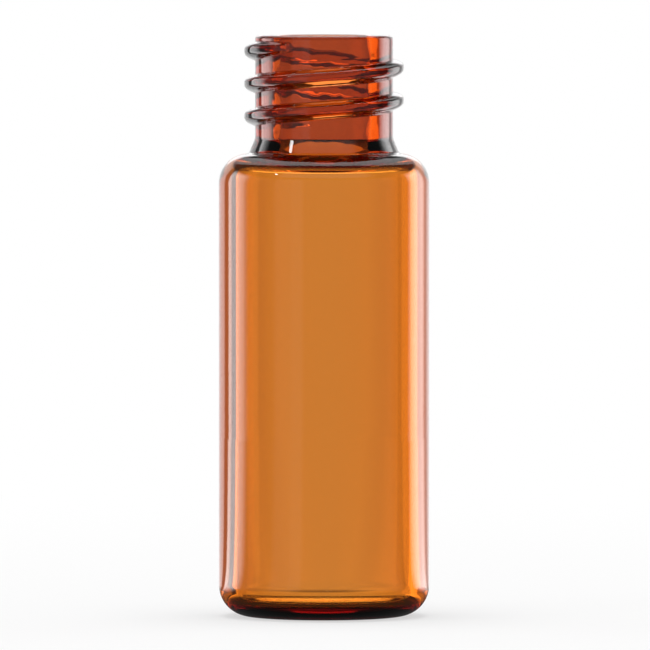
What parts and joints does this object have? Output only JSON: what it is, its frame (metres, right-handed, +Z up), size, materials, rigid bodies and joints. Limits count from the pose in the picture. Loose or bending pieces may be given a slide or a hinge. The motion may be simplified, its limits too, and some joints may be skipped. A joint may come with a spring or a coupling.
{
  "type": "glass sample vial",
  "caption": "Small round flat-bottomed amber glass vial with a rounded shoulder, a short neck and a coarse right-hand screw thread, open at the top.",
  "frame": {"origin": "middle of the underside, on the surface the vial stands on", "axes": "+Z up along the vial's axis to the mouth, -Y towards the front, +X to the right"},
  "size_m": [0.0116, 0.0116, 0.032],
  "materials": {
    "amber_glass": "clear amber glass, fire polished, tinted all the way through"
  },
  "bodies": {
    "root": {"vial": "amber_glass"}
  },
  "joints": []
}
